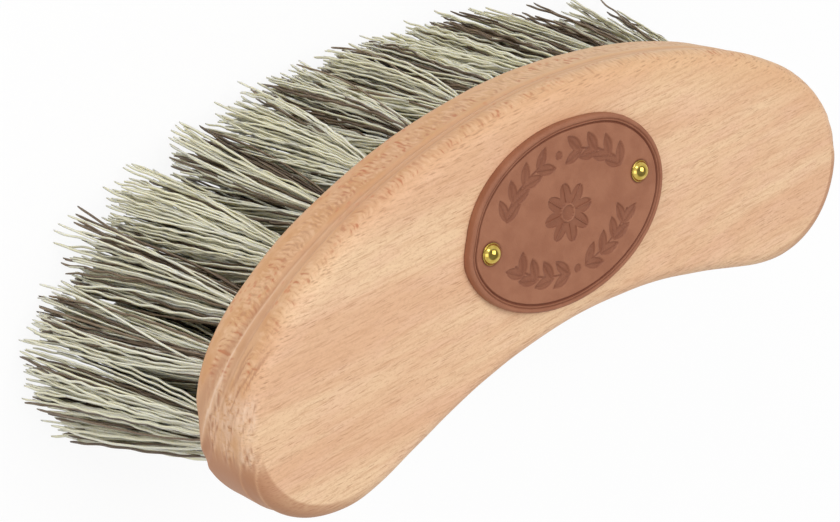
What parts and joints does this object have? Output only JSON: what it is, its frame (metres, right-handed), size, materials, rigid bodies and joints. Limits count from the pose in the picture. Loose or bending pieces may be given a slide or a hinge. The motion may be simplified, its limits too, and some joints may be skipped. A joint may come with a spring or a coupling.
{
  "type": "banana brush",
  "caption": "Bowed banana-shaped grooming brush: a beech block with a finger groove, leaning tufts of stiff cream and brown fibre, and an oval leather badge nailed to its back.",
  "frame": {"origin": "on the ground under the middle of the brush as it stands on its bristle tips", "axes": "+X along the block, +Y towards its convex edge, +Z out of its back, where the badge is"},
  "size_m": [0.2266, 0.0768, 0.0896],
  "materials": {
    "beech": "sanded and lightly oiled",
    "brown_leather": "smooth, matt",
    "brass": "polished",
    "cream_fibre": "matt, crimped",
    "dark_fibre": "matt, crimped"
  },
  "bodies": {
    "root": {"brush_back": "beech", "leather_badge": "brown_leather", "nail_left": "brass", "nail_right": "brass", "tuft_row1_01": "cream_fibre", "tuft_row1_02": "dark_fibre", "tuft_row1_03": "cream_fibre", "tuft_row1_04": "dark_fibre", "tuft_row1_05": "cream_fibre", "tuft_row1_06": "dark_fibre", "tuft_row1_07": "cream_fibre", "tuft_row1_08": "dark_fibre", "tuft_row1_09": "cream_fibre", "tuft_row1_10": "dark_fibre", "tuft_row1_11": "cream_fibre", "tuft_row1_12": "dark_fibre", "tuft_row1_13": "cream_fibre", "tuft_row1_14": "dark_fibre", "tuft_row2_01": "dark_fibre", "tuft_row2_02": "cream_fibre", "tuft_row2_03": "dark_fibre", "tuft_row2_04": "cream_fibre", "tuft_row2_05": "dark_fibre", "tuft_row2_06": "cream_fibre", "tuft_row2_07": "dark_fibre", "tuft_row2_08": "cream_fibre", "tuft_row2_09": "dark_fibre", "tuft_row2_10": "cream_fibre", "tuft_row2_11": "dark_fibre", "tuft_row2_12": "cream_fibre", "tuft_row2_13": "dark_fibre", "tuft_row2_14": "cream_fibre", "tuft_row2_15": "dark_fibre", "tuft_row3_01": "cream_fibre", "tuft_row3_02": "dark_fibre", "tuft_row3_03": "cream_fibre", "tuft_row3_04": "dark_fibre", "tuft_row3_05": "cream_fibre", "tuft_row3_06": "dark_fibre", "tuft_row3_07": "cream_fibre", "tuft_row3_08": "dark_fibre", "tuft_row3_09": "cream_fibre", "tuft_row3_10": "dark_fibre", "tuft_row3_11": "cream_fibre", "tuft_row3_12": "dark_fibre", "tuft_row3_13": "cream_fibre", "tuft_row3_14": "dark_fibre", "tuft_row4_01": "dark_fibre", "tuft_row4_02": "cream_fibre", "tuft_row4_03": "dark_fibre", "tuft_row4_04": "cream_fibre", "tuft_row4_05": "dark_fibre", "tuft_row4_06": "cream_fibre", "tuft_row4_07": "dark_fibre", "tuft_row4_08": "cream_fibre", "tuft_row4_09": "dark_fibre", "tuft_row4_10": "cream_fibre", "tuft_row4_11": "dark_fibre", "tuft_row4_12": "cream_fibre", "tuft_row4_13": "dark_fibre"}
  },
  "joints": []
}
